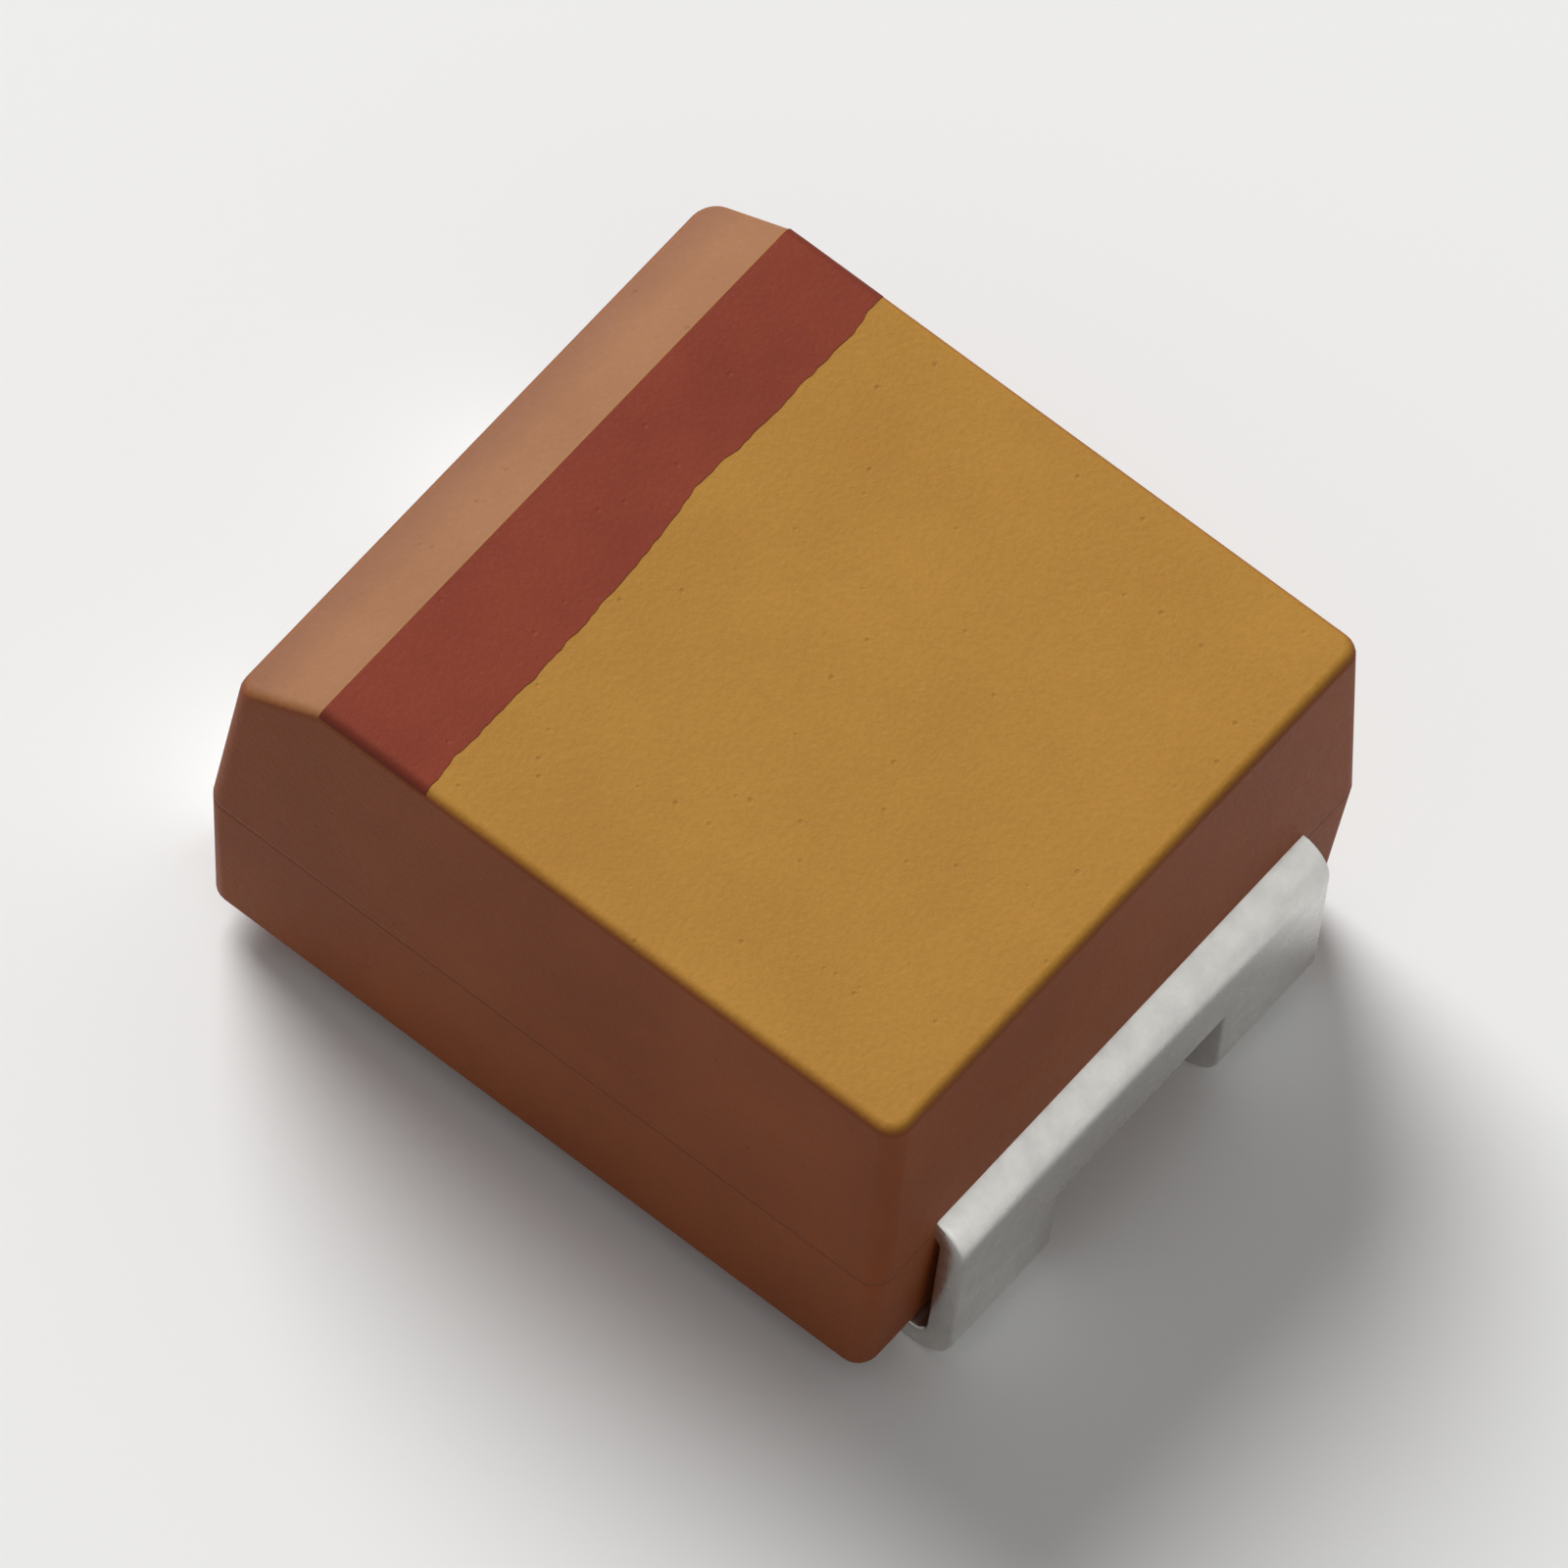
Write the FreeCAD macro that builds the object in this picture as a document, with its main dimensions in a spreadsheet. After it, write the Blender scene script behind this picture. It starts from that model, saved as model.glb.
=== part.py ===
import FreeCAD, Part
import Sketcher
import math
import os
import re

# A moulded tantalum chip capacitor of case size 3528-21, in millimetres.
# X runs from the anode end to the cathode end, Z is up, and the origin is the middle of the
# footprint on the plane that the two feet stand on.

# Driving sizes, in millimetres and degrees
SIZES = {
    # whole part
    "overall_length": 3.5,  # over the two terminals
    "overall_height": 1.9,  # feet to the top of the moulding
    "case_width": 2.9,  # at the parting plane
    # moulding
    "draft_angle": 3,
    "corner_radius": 0.09,
    "edge_radius": 0.045,
    "bevel_run": 0.375,  # polarity bevel, along the top
    "bevel_drop": 0.23,
    "band_width": 0.475,  # polarity band, from the bevel towards the middle
    "band_depth": 0.03,
    "pad_standoff": 0.05,  # glue pad above the seating plane
    "pad_margin": 0.35,  # from the side of the moulding
    "foot_pad_gap": 0.05,
    "foot_clearance": 0.03,
    "terminal_gap": 0.02,
    # walls of epoxy round the pellet
    "side_wall": 0.34,
    "top_wall": 0.32,
    "floor_wall": 0.18,
    # lead frame strips
    "strip_thickness": 0.12,
    "bend_radius": 0.05,  # inside of each bend
    "terminal_margin": 0.35,  # from the side of the moulding
    "foot_length": 0.8,
    "foot_tip_radius": 0.08,
    "root_length": 0.07,  # full width of the strip inside the wall
    "cutout_width": 1.0,
    "cutout_height": 0.5,
    "cutout_depth": 0.3,
    "tab_width": 0.9,
    "weld_length": 0.38,
    "tab_gap": 0.12,  # tab to washer
    "cradle_width": 1.4,
    "cradle_margin": 0.5,  # edge of the silver coat to the end of the cradle
    "crank_run": 0.18,
    "crank_clearance": 0.08,
    "crank_lead": 0.02,
    # pellet and its coats
    "pellet_radius": 0.1,
    "manganese_thickness": 0.05,
    "graphite_thickness": 0.03,
    "graphite_setback": 0.12,
    "silver_thickness": 0.05,
    "silver_setback": 0.22,
    "adhesive_thickness": 0.04,
    "adhesive_margin": 0.08,
    # riser wire and washer
    "wire_diameter": 0.26,
    "wire_flat": 0.03,  # pressed flat where it is welded
    "wire_end_wall": 0.21,
    "wire_far_wall": 0.6,  # tip of the wire to the far end of the pellet
    "washer_diameter": 0.75,
    "washer_thickness": 0.1,
}

# Places that follow from the sizes
PLACES = {
    "case_end": "overall_length / 2 - strip_thickness - terminal_gap",
    "underside": "strip_thickness + foot_clearance",
    "terminal_half_width": "case_width / 2 - terminal_margin",
    "coat_build": "manganese_thickness + graphite_thickness + silver_thickness",
    "cradle_top": "underside + floor_wall + strip_thickness",
    "cradle_middle": "cradle_top - strip_thickness / 2",
    "silver_bottom": "cradle_top + adhesive_thickness",
    "silver_top": "overall_height - top_wall",
    "pellet_centre": "(silver_bottom + silver_top) / 2",
    "tab_top": "pellet_centre - wire_diameter / 2 + wire_flat",
    "exit_plane": "tab_top - strip_thickness / 2",
    "bend_line": "bend_radius + strip_thickness / 2",
    "terminal_line": "overall_length / 2 - strip_thickness / 2",
    "foot_line": "strip_thickness / 2",
    "foot_tip": "overall_length / 2 - foot_length",
    "crank_top": "terminal_line - 2 * bend_line - crank_lead",
    "crank_foot": "crank_top - crank_run",
    "silver_end": "crank_foot - crank_clearance",
    "pellet_end": "silver_end - coat_build",
    "wire_start": "wire_end_wall - case_end",
    "tab_end": "wire_start + weld_length",
    "washer_face": "tab_end + tab_gap",
    "pellet_face": "washer_face + washer_thickness",
    "wire_tip": "pellet_end - wire_far_wall",
    "manganese_face": "pellet_face - manganese_thickness",
    "graphite_face": "manganese_face + graphite_setback",
    "silver_face": "manganese_face + silver_setback",
    "cradle_end": "silver_face + cradle_margin",
    "top_end": "case_end - (overall_height - exit_plane) * tan(draft_angle)",
    "bevel_top": "bevel_run - top_end",
    "bevel_slope": "bevel_drop / (bevel_run + bevel_drop * tan(draft_angle))",
    "bevel_outer": "overall_height - bevel_slope * (bevel_run + case_end - top_end)",
}

doc = FreeCAD.newDocument("tantalum_chip_capacitor")
sheet = doc.addObject("Spreadsheet::Sheet", "Sizes")
for row, (alias, size) in enumerate(SIZES.items(), start=1):
    sheet.set(f"A{row}", alias)
    sheet.set(f"B{row}", str(size))
    sheet.setAlias(f"B{row}", alias)
doc.recompute()


def linked(words):
    # Size names become references to the sheet, and place names what they stand for
    def reference(match):
        name = match[0]
        if name in PLACES:
            return f"({linked(PLACES[name])})"
        return f"Sizes.{name}" if name in SIZES else name

    return re.sub(r"[a-z_]+", reference, words)


def bind(feature, property_name, words):
    feature.setExpression(property_name, linked(words))


def value(words):
    return float(sheet.evalExpression(linked(words)))


# Sketches


def new_sketch(body, name, role, place="0"):
    plane = next(item for item in body.Origin.OriginFeatures if item.Role == role)
    sketch = body.newObject("Sketcher::SketchObject", name)
    sketch.AttachmentSupport = [(plane, "")]
    sketch.MapMode = "FlatFace"
    bind(sketch, "AttachmentOffset.Base.z", place)
    return sketch


def add_constraint(sketch, *terms, words=None):
    index = sketch.addConstraint(Sketcher.Constraint(*terms))
    if words:
        bind(sketch, f"Constraints[{index}]", words)


def fix_point(sketch, item, point, place):
    # Holds a point of the sketch at its two distances from the origin
    axes = (("DistanceX", -2), ("DistanceY", -1))
    for (kind, axis), words in zip(axes, place):
        distance = value(words)
        if distance == 0:
            add_constraint(sketch, "PointOnObject", item, point, axis)
        elif distance > 0:
            add_constraint(sketch, kind, -1, 1, item, point, distance, words=words)
        else:
            add_constraint(sketch, kind, item, point, -1, 1, -distance, words=f"-({words})")


def draw_corner(sketch, spot, before, after, radius):
    # The arc that rounds one corner, and which of its ends meets the line before it
    arriving = (spot - before).normalize()
    leaving = (after - spot).normalize()
    turn = arriving.cross(leaving).z
    side = FreeCAD.Vector(-arriving.y, arriving.x, 0) * math.copysign(1, turn)
    cut = radius * math.tan(arriving.getAngle(leaving) / 2)
    centre = spot - arriving * cut + side * radius
    ends = [spot - arriving * cut - centre, spot + leaving * cut - centre]
    angles = [math.atan2(end.y, end.x) for end in ends]
    if turn < 0:
        angles.reverse()
    circle = Part.Circle(centre, FreeCAD.Vector(0, 0, 1), radius)
    arc = sketch.addGeometry(Part.ArcOfCircle(circle, *angles))
    return (arc, 1, 2) if turn > 0 else (arc, 2, 1)


def draw_outline(sketch, corners, radius=None, closed=True):
    # Straight runs between corners that are held by their places, rounded where a radius is given
    spots = [FreeCAD.Vector(value(x), value(y), 0) for x, y in corners]
    count = len(spots)
    turns = range(count) if closed else range(1, count - 1)
    runs = range(count) if closed else range(count - 1)
    lines = [sketch.addGeometry(Part.LineSegment(spots[run], spots[(run + 1) % count])) for run in runs]
    for turn in turns:
        before, after = lines[turn - 1], lines[turn]
        if radius is None:
            add_constraint(sketch, "Coincident", before, 2, after, 1)
            fix_point(sketch, after, 1, corners[turn])
            continue
        mark = sketch.addGeometry(Part.Point(spots[turn]), True)
        fix_point(sketch, mark, 1, corners[turn])
        add_constraint(sketch, "PointOnObject", mark, 1, before)
        add_constraint(sketch, "PointOnObject", mark, 1, after)
        around = spots[turn - 1], spots[(turn + 1) % count]
        arc, start, end = draw_corner(sketch, spots[turn], *around, value(radius))
        add_constraint(sketch, "Tangent", before, 2, arc, start)
        add_constraint(sketch, "Tangent", arc, end, after, 1)
        add_constraint(sketch, "Radius", arc, value(radius), words=radius)
    if not closed:
        fix_point(sketch, lines[0], 1, corners[0])
        fix_point(sketch, lines[-1], 2, corners[-1])


def draw_rectangle(sketch, left, right, low, high, radius=None):
    corners = [(left, low), (right, low), (right, high), (left, high)]
    draw_outline(sketch, corners, radius)


def draw_circle(sketch, centre, diameter):
    spot = FreeCAD.Vector(*[value(words) for words in centre], 0)
    circle = sketch.addGeometry(Part.Circle(spot, FreeCAD.Vector(0, 0, 1), value(diameter) / 2))
    fix_point(sketch, circle, 3, centre)
    add_constraint(sketch, "Diameter", circle, value(diameter), words=diameter)


# Features


def new_body(name):
    body = doc.addObject("PartDesign::Body", name)
    body.Label = name
    return body


def add_pad(body, name, sketch, length, reverse=False, draft=None):
    pad = body.newObject("PartDesign::Pad", name)
    pad.Profile = sketch
    pad.Reversed = reverse
    bind(pad, "Length", length)
    if draft:
        bind(pad, "TaperAngle", draft)
    doc.recompute()
    return pad


def add_pocket(body, name, sketch, length=None, reverse=False):
    # With no length it runs right through, to both sides of its sketch
    before = body.Shape.Volume
    pocket = body.newObject("PartDesign::Pocket", name)
    pocket.Profile = sketch
    pocket.Reversed = reverse
    if length:
        bind(pocket, "Length", length)
    else:
        pocket.Type = "ThroughAll"
        pocket.Midplane = True
    doc.recompute()
    if body.Shape.Volume >= before:
        raise ValueError(f"{name} cuts nothing")
    return pocket


def add_fillet(body, name, radius, chosen):
    base = body.Tip
    names = [f"Edge{number}" for number, edge in enumerate(base.Shape.Edges, start=1) if chosen(edge)]
    fillet = body.newObject("PartDesign::Fillet", name)
    fillet.Base = (base, names)
    bind(fillet, "Radius", radius)
    doc.recompute()
    return fillet


def add_cut(name, base, *tools):
    tool = tools[0]
    if len(tools) > 1:
        tool = doc.addObject("Part::MultiFuse", f"{name}_tools")
        tool.Shapes = list(tools)
    cut = doc.addObject("Part::Cut", name)
    cut.Base = base
    cut.Tool = tool
    cut.Label = name
    doc.recompute()
    return cut


# Pellet, wire and washer


def make_pellet():
    body = new_body("tantalum_pellet")
    draw_block(body, "pressed_block", "pellet_face", "pellet_end", "0")
    bore = new_sketch(body, "bore_outline", "YZ_Plane", "pellet_face")
    draw_circle(bore, ("0", "pellet_centre"), "wire_diameter")
    add_pocket(body, "wire_bore", bore, "wire_tip - pellet_face", reverse=True)
    return body


def draw_block(body, name, start, end, growth):
    # The rounded block of the pellet, grown on its four long sides
    sketch = new_sketch(body, f"{name}_outline", "YZ_Plane", start)
    side = f"case_width / 2 - side_wall - coat_build + {growth}"
    low = f"silver_bottom + coat_build - ({growth})"
    high = f"silver_top - coat_build + {growth}"
    draw_rectangle(sketch, f"-({side})", side, low, high, f"pellet_radius + {growth}")
    add_pad(body, name, sketch, f"{end} - ({start})")


def make_wire():
    body = new_body("anode_wire")
    section = new_sketch(body, "wire_outline", "YZ_Plane", "wire_start")
    draw_circle(section, ("0", "pellet_centre"), "wire_diameter")
    add_pad(body, "drawn_wire", section, "wire_tip - wire_start")
    flat = new_sketch(body, "flat_outline", "XZ_Plane")
    draw_rectangle(flat, "-case_end", "tab_end", "tab_top - wire_diameter / 2", "tab_top")
    add_pocket(body, "weld_flat", flat)
    return body


def make_washer():
    body = new_body("wire_washer")
    ring = new_sketch(body, "washer_outline", "YZ_Plane", "washer_face")
    draw_circle(ring, ("0", "pellet_centre"), "washer_diameter")
    draw_circle(ring, ("0", "pellet_centre"), "wire_diameter")
    add_pad(body, "punched_ring", ring, "washer_thickness")
    return body


# Coats on the pellet: each is its outer form less what it covers


def make_form(name, start, end, growth):
    body = new_body(name)
    draw_block(body, f"{name}_block", start, end, growth)
    return body


def make_coats(pellet, wire, washer):
    thin = "manganese_thickness"
    manganese = make_form("manganese_form", "manganese_face", f"pellet_end + {thin}", thin)
    thick = "(manganese_thickness + graphite_thickness)"
    graphite = make_form("graphite_form", "graphite_face", f"pellet_end + {thick}", thick)
    silver = make_form("silver_form", "silver_face", "silver_end", "coat_build")
    return [
        add_cut("manganese_coat", manganese, pellet, wire, washer),
        add_cut("graphite_coat", graphite, manganese),
        add_cut("silver_coat", silver, graphite),
    ]


def make_adhesive():
    body = new_body("silver_adhesive")
    sketch = new_sketch(body, "adhesive_outline", "XY_Plane", "cradle_top")
    side = "cradle_width / 2 - adhesive_margin"
    ends = "cradle_end + adhesive_margin", "silver_end - adhesive_margin"
    draw_rectangle(sketch, *ends, f"-({side})", side, "adhesive_margin")
    add_pad(body, "adhesive_pad", sketch, "adhesive_thickness")
    return body


# Lead frame strips, each bent from one flat strip


def bend_strip(body, corners):
    start, height = corners[0]
    path = new_sketch(body, "strip_path", "XZ_Plane")
    draw_outline(path, corners, "bend_line", closed=False)
    section = new_sketch(body, "strip_section", "YZ_Plane", start)
    sides = "-terminal_half_width", "terminal_half_width"
    draw_rectangle(section, *sides, f"{height} - foot_line", f"{height} + foot_line")
    strip = body.newObject("PartDesign::AdditivePipe", "bent_strip")
    strip.Profile = section
    strip.Spine = path
    doc.recompute()


def trim_inner_strip(body, width, left, right):
    # Both edges of the strip are cut back inside the moulding, down to its underside
    sketch = new_sketch(body, "trim_outline", "XY_Plane", "exit_plane + strip_thickness")
    inside, outside = f"({width}) / 2", "case_width / 2"
    draw_rectangle(sketch, left, right, inside, outside)
    draw_rectangle(sketch, left, right, f"-{outside}", f"-{inside}")
    add_pocket(body, "inner_trim", sketch, "exit_plane + strip_thickness - underside")


def finish_foot(body, outer_face, inwards):
    # The solder cut-out across the lower bend, and the rounded tips of the foot
    sketch = new_sketch(body, "cutout_outline", "YZ_Plane", outer_face)
    sides = "-cutout_width / 2", "cutout_width / 2"
    draw_rectangle(sketch, *sides, "-strip_thickness", "cutout_height")
    add_pocket(body, "solder_cutout", sketch, "cutout_depth", reverse=inwards)

    def at_foot_tip(edge):
        box = edge.BoundBox
        low = box.ZMin < value("foot_line") < box.ZMax
        return low and box.XLength + box.YLength < 1e-6 and abs(box.XMin) < value("foot_tip") + 1e-6

    add_fillet(body, "foot_tips", "foot_tip_radius", at_foot_tip)


def make_anode_terminal():
    body = new_body("anode_terminal")
    corners = [
        ("tab_end", "exit_plane"),
        ("-terminal_line", "exit_plane"),
        ("-terminal_line", "foot_line"),
        ("-foot_tip", "foot_line"),
    ]
    bend_strip(body, corners)
    trim_inner_strip(body, "tab_width", "root_length - case_end", "tab_end + tab_gap / 2")
    finish_foot(body, "-overall_length / 2", True)
    return body


def make_cathode_terminal():
    body = new_body("cathode_terminal")
    corners = [
        ("cradle_end", "cradle_middle"),
        ("crank_foot", "cradle_middle"),
        ("crank_top", "exit_plane"),
        ("terminal_line", "exit_plane"),
        ("terminal_line", "foot_line"),
        ("foot_tip", "foot_line"),
    ]
    bend_strip(body, corners)
    trim_inner_strip(body, "cradle_width", "cradle_end - tab_gap / 2", "case_end - root_length")
    finish_foot(body, "overall_length / 2", False)
    return body


# Moulding


def make_case_form():
    # Two halves that draft away from the parting plane, with the glue pad below
    body = new_body("case_form")
    side = "case_width / 2"
    for name, high in (("upper", True), ("lower", False)):
        outline = new_sketch(body, f"{name}_outline", "XY_Plane", "exit_plane")
        draw_rectangle(outline, "-case_end", "case_end", f"-{side}", side, "corner_radius")
        length = "overall_height - exit_plane" if high else "exit_plane - underside"
        add_pad(body, f"{name}_half", outline, length, reverse=not high, draft="-draft_angle")

    glue = new_sketch(body, "glue_pad_outline", "XY_Plane", "underside")
    end = "foot_tip - foot_pad_gap"
    wide = "case_width / 2 - pad_margin"
    draw_rectangle(glue, f"-({end})", end, f"-({wide})", wide)
    add_pad(body, "glue_pad", glue, "underside - pad_standoff", reverse=True)

    bevel = new_sketch(body, "bevel_outline", "XZ_Plane")
    corners = [("bevel_top", "overall_height"), ("-case_end", "overall_height"), ("-case_end", "bevel_outer")]
    draw_outline(bevel, corners)
    add_pocket(body, "polarity_bevel", bevel)
    lowest = value("overall_height - bevel_drop") - 1e-6
    add_fillet(body, "worn_edges", "edge_radius", lambda edge: edge.BoundBox.ZMin > lowest)
    return body


def make_band(case_form):
    # The marked skin, level with the top of the moulding
    box = doc.addObject("Part::Box", "band_box")
    bind(box, "Length", "band_width")
    bind(box, "Width", "case_width")
    bind(box, "Height", "band_depth")
    bind(box, "Placement.Base.x", "bevel_top")
    bind(box, "Placement.Base.y", "-case_width / 2")
    bind(box, "Placement.Base.z", "overall_height - band_depth")
    band = doc.addObject("Part::MultiCommon", "polarity_band")
    band.Shapes = [case_form, box]
    band.Label = "polarity_band"
    doc.recompute()
    return band


def make_nodes():
    pellet = make_pellet()
    wire = make_wire()
    washer = make_washer()
    inside = [pellet, wire, washer, *make_coats(pellet, wire, washer), make_adhesive()]
    inside += [make_anode_terminal(), make_cathode_terminal()]
    case_form = make_case_form()
    band = make_band(case_form)
    case = add_cut("moulded_case", case_form, band, *inside)
    return [case, band, *inside]


nodes = make_nodes()
doc.recompute()
failed = [item.Name for item in doc.Objects if {"Invalid", "Error"} & set(item.State)]
failed += [node.Label for node in nodes if node.Shape.isNull() or not node.Shape.isValid()]
failed += [node.Label for node in nodes if len(node.Shape.Solids) != 1]
if failed:
    raise RuntimeError(f"not built: {failed}")

os.makedirs("parts", exist_ok=True)
for node in nodes:
    node.Shape.exportStep(f"parts/{node.Label}.step")
    box = node.Shape.BoundBox
    print(f"{node.Label}: {node.Shape.Volume:.4f} mm3, {box.XLength:.3f} x {box.YLength:.3f} x {box.ZLength:.3f}")
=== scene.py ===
import math
import random

import bmesh
import bpy
from mathutils import Matrix, Vector


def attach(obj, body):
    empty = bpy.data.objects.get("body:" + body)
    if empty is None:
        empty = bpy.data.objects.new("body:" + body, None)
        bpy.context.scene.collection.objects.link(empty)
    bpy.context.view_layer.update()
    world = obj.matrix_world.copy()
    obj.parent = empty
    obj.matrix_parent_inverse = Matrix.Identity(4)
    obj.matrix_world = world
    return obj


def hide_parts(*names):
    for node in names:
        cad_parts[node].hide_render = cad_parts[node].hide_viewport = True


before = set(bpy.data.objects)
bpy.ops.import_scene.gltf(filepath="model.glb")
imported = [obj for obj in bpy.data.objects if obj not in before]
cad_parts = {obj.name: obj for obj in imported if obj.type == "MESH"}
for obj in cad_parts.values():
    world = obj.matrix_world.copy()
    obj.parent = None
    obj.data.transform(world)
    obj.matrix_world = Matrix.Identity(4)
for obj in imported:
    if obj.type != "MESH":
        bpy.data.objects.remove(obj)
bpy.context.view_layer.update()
print("frame loaded:", len(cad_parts), "nodes")

mm = 0.001  # pieces are drawn in millimetres and brought to metres at the end
snapDist = 0.00001  # millimetres: a corner this close to a cut lies on it
weldDist = 0.0005  # millimetres: corners closer than this are one
near = 0.001  # millimetres: how close to its place a corner or a face is when it is picked by place


# Shared helpers for meshes

def weldMesh(bm):
    bmesh.ops.remove_doubles(bm, verts=bm.verts, dist=weldDist)
    bmesh.ops.recalc_face_normals(bm, faces=bm.faces)


def finishPiece(name, bm, material, smoothAngle=40.0):
    # brings a drawing in millimetres to metres and makes it a piece of the part
    weldMesh(bm)
    bmesh.ops.scale(bm, vec=(mm, mm, mm), verts=bm.verts)
    for face in bm.faces:
        face.smooth = True
    for edge in bm.edges:
        edge.smooth = edge.calc_face_angle(0.0) < math.radians(smoothAngle)
    mesh = bpy.data.meshes.new(name)
    bm.to_mesh(mesh)
    bm.free()
    piece = bpy.data.objects.new(name, mesh)
    bpy.context.scene.collection.objects.link(piece)
    mesh.materials.append(material)
    flatten = piece.modifiers.new("flatFaces", "WEIGHTED_NORMAL")  # big faces stay flat beside the rounds
    flatten.keep_sharp = True
    return piece


def onlyOf(items, kind):
    return [item for item in items if isinstance(item, kind)]


def sharpEdges(bm, angle, chosen=lambda edge: True):
    turned = [edge for edge in bm.edges if edge.calc_face_angle(0.0) > math.radians(angle)]
    return [edge for edge in turned if chosen(edge)]


def roundEdges(bm, edges, radius, segments):
    bmesh.ops.bevel(bm, geom=edges, offset=radius, offset_type="OFFSET", segments=segments,
                    profile=0.5, affect="EDGES", material=-1, clamp_overlap=True)


def cutAcross(bm, place, normal, faces=None, drop=False):
    # a loop of edges where the plane meets the mesh; with drop, what lies beyond it goes
    geom = bm.verts[:] + bm.edges[:] + bm.faces[:]
    if faces is not None:
        edges = {edge for face in faces for edge in face.edges}
        verts = {vert for face in faces for vert in face.verts}
        geom = list(verts) + list(edges) + list(faces)
    made = bmesh.ops.bisect_plane(bm, geom=geom, dist=snapDist, plane_co=place, plane_no=normal,
                                  clear_outer=drop)
    return made["geom_cut"]


def extrudeFaces(bm, faces, shift):
    made = bmesh.ops.extrude_face_region(bm, geom=faces)
    bmesh.ops.translate(bm, vec=shift, verts=onlyOf(made["geom"], bmesh.types.BMVert))
    old = [face for face in faces if face.is_valid]
    bmesh.ops.delete(bm, geom=old, context="FACES_ONLY")
    return onlyOf(made["geom"], bmesh.types.BMFace)


def turnFaces(bm, faces, centre, angle, steps):
    # sweeps the faces round an axis along Y, as a bend of a strip
    made = bmesh.ops.spin(bm, geom=faces, cent=centre, axis=(0, 1, 0), dvec=(0, 0, 0), angle=angle,
                          steps=steps, use_merge=False, use_normal_flip=False, use_duplicate=False)
    old = [face for face in faces if face.is_valid]
    bmesh.ops.delete(bm, geom=old, context="FACES_ONLY")
    return onlyOf(made["geom_last"], bmesh.types.BMFace)


def shareBetween(value, none, full):
    # 0 at the first limit, 1 at the second, and even in between
    return min(1.0, max(0.0, (value - none) / (full - none)))


# Shared helpers for materials

# between these values a noise goes from one tone to the other, and from smooth to rough
toneRange = (0.35, 0.65)
roughRange = (0.3, 0.7)


def newMaterial(name, roughness, metallic=0.0):
    material = bpy.data.materials.new(name)
    material.use_nodes = True
    shader = material.node_tree.nodes["Principled BSDF"]
    shader.inputs["Roughness"].default_value = roughness
    shader.inputs["Metallic"].default_value = metallic
    return material, material.node_tree, shader


def addNode(tree, kind, inputs=None, **settings):
    # each input is a socket to link from or a value to set
    node = tree.nodes.new(kind)
    for key, setting in settings.items():
        setattr(node, key, setting)
    for key, given in (inputs or {}).items():
        if isinstance(given, bpy.types.NodeSocket):
            tree.links.new(given, node.inputs[key])
        else:
            node.inputs[key].default_value = given
    return node


def newGroup(name, inputs, outputs):
    group = bpy.data.node_groups.new(name, "ShaderNodeTree")
    for direction, sockets in (("INPUT", inputs), ("OUTPUT", outputs)):
        for label, kind in sockets:
            group.interface.new_socket(label, in_out=direction, socket_type=kind)
    return group, group.nodes.new("NodeGroupInput"), group.nodes.new("NodeGroupOutput")


def millimetres(tree):
    # Object coordinates in millimetres
    where = addNode(tree, "ShaderNodeTexCoord").outputs["Object"]
    scale = (1 / mm,) * 3
    return addNode(tree, "ShaderNodeMapping", {"Vector": where, "Scale": scale}).outputs["Vector"]


def mathNode(tree, operation, first, second=0.0, third=0.0):
    return addNode(tree, "ShaderNodeMath", {0: first, 1: second, 2: third}, operation=operation).outputs[0]


def rampValue(tree, value, low, high, start=0.0, end=1.0):
    inputs = {"Value": value, "From Min": low, "From Max": high, "To Min": start, "To Max": end}
    return addNode(tree, "ShaderNodeMapRange", inputs, clamp=True).outputs["Result"]


def mixColour(tree, share, first, second, blend="MIX"):
    # first and second are colours or sockets; a Mix node takes colours in its inputs 6 and 7
    first, second = (given if isinstance(given, bpy.types.NodeSocket) else (*given, 1.0)
                     for given in (first, second))
    inputs = {0: share, 6: first, 7: second}
    return addNode(tree, "ShaderNodeMix", inputs, data_type="RGBA", blend_type=blend).outputs[2]


def wanderRoughness(tree, shader, noise, look):
    # the look's roughness, a little less or more with the noise
    less, more = look["roughnessSpread"]
    rough = rampValue(tree, noise, *roughRange, look["roughness"] - less, look["roughness"] + more)
    tree.links.new(rough, shader.inputs["Roughness"])


def raiseSurface(tree, shader, height, distance):
    bump = addNode(tree, "ShaderNodeBump", {"Height": height, "Distance": distance, "Strength": 1.0})
    tree.links.new(bump.outputs["Normal"], shader.inputs["Normal"])


# Filled resin grain: soft clouds, fine filler grains and small pits, for the moulding and its mark

grainLook = {
    "cloud": {"Detail": 6.0, "Roughness": 0.65}, "grain": {"Detail": 3.0, "Roughness": 0.6},
    "pitFloor": 0.12, "pitRim": 0.26, "pitDepth": -0.8,
}


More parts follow.
